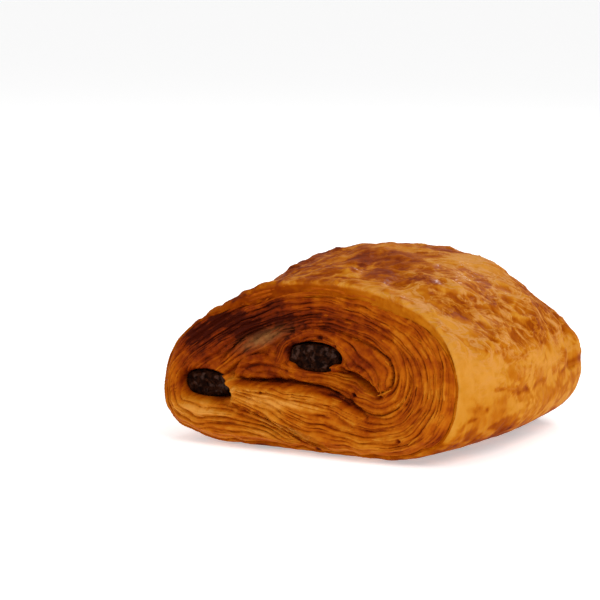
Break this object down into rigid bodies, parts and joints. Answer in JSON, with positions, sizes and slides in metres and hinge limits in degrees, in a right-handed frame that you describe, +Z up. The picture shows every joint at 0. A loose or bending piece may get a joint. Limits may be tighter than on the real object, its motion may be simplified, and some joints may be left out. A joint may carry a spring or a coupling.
{
  "type": "pain au chocolat",
  "caption": "Baked pain au chocolat: a rolled, laminated golden pastry with the ends of dark chocolate sticks showing in the coil at both ends.",
  "frame": {"origin": "centre of the pastry's footprint box, on the flat underside", "axes": "+X across the roll, the longest side, towards the fuller side; +Y along the roll away from the near coiled end; +Z up"},
  "size_m": [0.0848, 0.0766, 0.0465],
  "materials": {
    "crust": "glossy egg-washed golden brown crust, matt and flaky at the ends",
    "chocolate": "baked dark chocolate, satin with small cracks"
  },
  "bodies": {
    "root": {"dough": "crust", "chocolate_stick_left": "chocolate", "chocolate_stick_right": "chocolate"}
  },
  "joints": []
}
